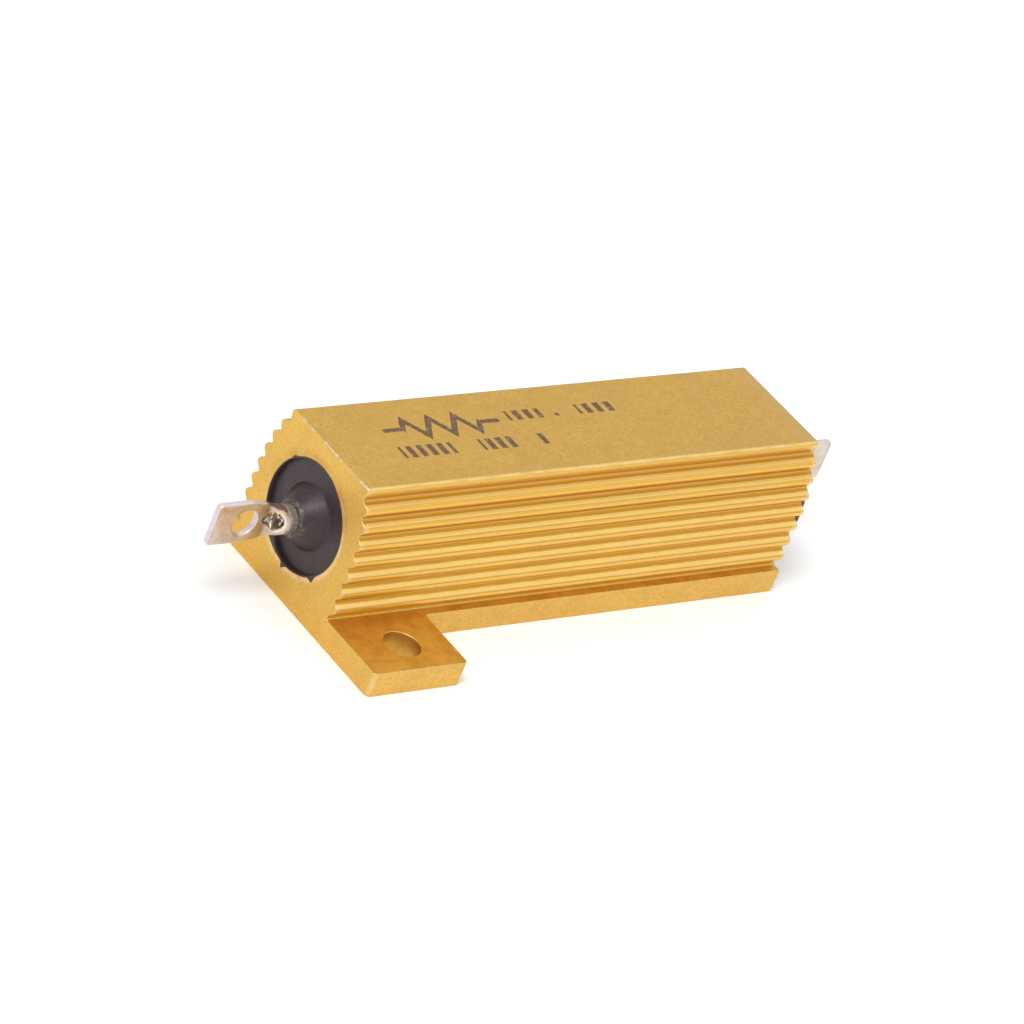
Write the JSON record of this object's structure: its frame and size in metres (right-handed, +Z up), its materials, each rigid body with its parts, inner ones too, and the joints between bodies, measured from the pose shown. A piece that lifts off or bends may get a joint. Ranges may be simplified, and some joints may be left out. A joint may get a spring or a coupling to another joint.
{
  "type": "aluminium housed power resistor",
  "caption": "Wirewound power resistor in a finned extruded aluminium housing with diagonal mounting feet and a flat solder lug at each end.",
  "frame": {"origin": "middle of the housing's mounting face, on the surface that it is fixed to", "axes": "+X along the housing and its terminals towards the far end, +Z up out of the mounting face, +Y across, towards the far foot"},
  "size_m": [0.0681, 0.028, 0.0147],
  "materials": {
    "anodised_aluminium": "satin gold anodised, fine drawn and tumbled texture, bare at worn edges",
    "moulding_compound": "matt black moulded compound",
    "core_ceramic": "unglazed",
    "resistance_wire": "dull resistance alloy",
    "cap_steel": "plain pressed steel",
    "tinned_terminal": "hot tinned, soft sheen"
  },
  "bodies": {
    "root": {"housing": "anodised_aluminium", "moulding": "moulding_compound", "ceramic_core": "core_ceramic", "winding": "resistance_wire", "near_end_cap": "cap_steel", "far_end_cap": "cap_steel", "near_terminal": "tinned_terminal", "far_terminal": "tinned_terminal"}
  },
  "joints": []
}
